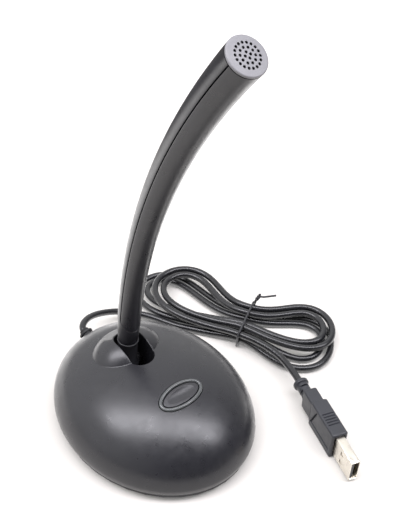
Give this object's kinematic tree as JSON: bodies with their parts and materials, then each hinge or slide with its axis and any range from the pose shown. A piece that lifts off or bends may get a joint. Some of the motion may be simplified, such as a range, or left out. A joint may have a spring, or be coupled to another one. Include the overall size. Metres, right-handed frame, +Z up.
{
  "type": "usb desk microphone",
  "caption": "Desk microphone with a curved tapering arm that tilts in a slotted dome base, an oval push button and a tied USB cable",
  "frame": {"origin": "on the table under the middle of the base, at the underside of the feet", "axes": "+X to the right of someone who speaks into it, +Y to the rear where the cable leaves, +Z up; the arm leans towards -Y and the cable lies at +X"},
  "size_m": [0.1538, 0.1615, 0.2129],
  "materials": {
    "satin_black": "fine-grained satin black ABS",
    "black_plastic": "black moulded plastic",
    "gloss_black": "polished black plastic bead",
    "light_grey": "fine-grained light grey plastic",
    "black_rubber": "matt black rubber",
    "cable_jacket": "satin black PVC jacket",
    "plug_plastic": "dark grey moulded PVC",
    "steel": "zinc-plated steel",
    "nickel": "bright nickel plate",
    "gold": "gold-plated contact",
    "aluminium_can": "drawn aluminium",
    "board": "green solder mask",
    "nylon": "natural nylon"
  },
  "bodies": {
    "base": {"base_shell": "satin_black", "base_plate": "black_plastic", "ballast_weight": "steel", "ballast_screw_1": "steel", "ballast_screw_2": "steel", "foot_1": "black_rubber", "foot_2": "black_rubber", "foot_3": "black_rubber", "foot_4": "black_rubber", "base_screw_1": "steel", "base_screw_2": "steel", "base_screw_3": "steel", "base_screw_4": "steel", "button_bezel": "gloss_black", "pcb": "board", "pcb_screw_1": "steel", "pcb_screw_2": "steel", "codec_chip": "black_plastic", "crystal_can": "aluminium_can", "capacitor": "aluminium_can", "usb_header": "nylon", "mic_header": "nylon", "switch_body": "black_plastic", "hinge_clamp": "black_plastic", "clamp_screw_1": "steel", "clamp_screw_2": "steel", "trunnion_bush_left": "nylon", "trunnion_bush_right": "nylon", "mic_lead_base": "cable_jacket", "usb_lead_inner": "cable_jacket", "strain_relief": "black_rubber", "cable_lead": "cable_jacket", "cable_hank": "cable_jacket", "cable_tail": "cable_jacket", "cable_tie": "black_plastic", "plug_overmold": "plug_plastic", "plug_shell": "nickel", "plug_tongue": "black_plastic", "plug_contact_1": "gold", "plug_contact_2": "gold", "plug_contact_3": "gold", "plug_contact_4": "gold"},
    "arm": {"knuckle": "black_plastic", "arm_rear_shell": "satin_black", "arm_front_shell": "satin_black", "end_cap": "light_grey", "capsule_boot": "black_rubber", "mic_capsule": "aluminium_can", "mic_lead_arm": "cable_jacket"},
    "button": {"button_cap": "black_plastic", "switch_plunger": "black_plastic"}
  },
  "joints": [
    {"name": "arm_tilt", "type": "hinge", "parent": "base", "child": "arm", "pos_m": [0, 0.0198, 0.021], "axis": [1, 0, 0], "range_deg": [0, 30]},
    {"name": "button_press", "type": "slide", "parent": "base", "child": "button", "axis": [0, 0.2206, -0.9754], "range_m": [0, 0.0008], "stiffness_N_per_m": 600, "springref_m": -0.0005}
  ]
}
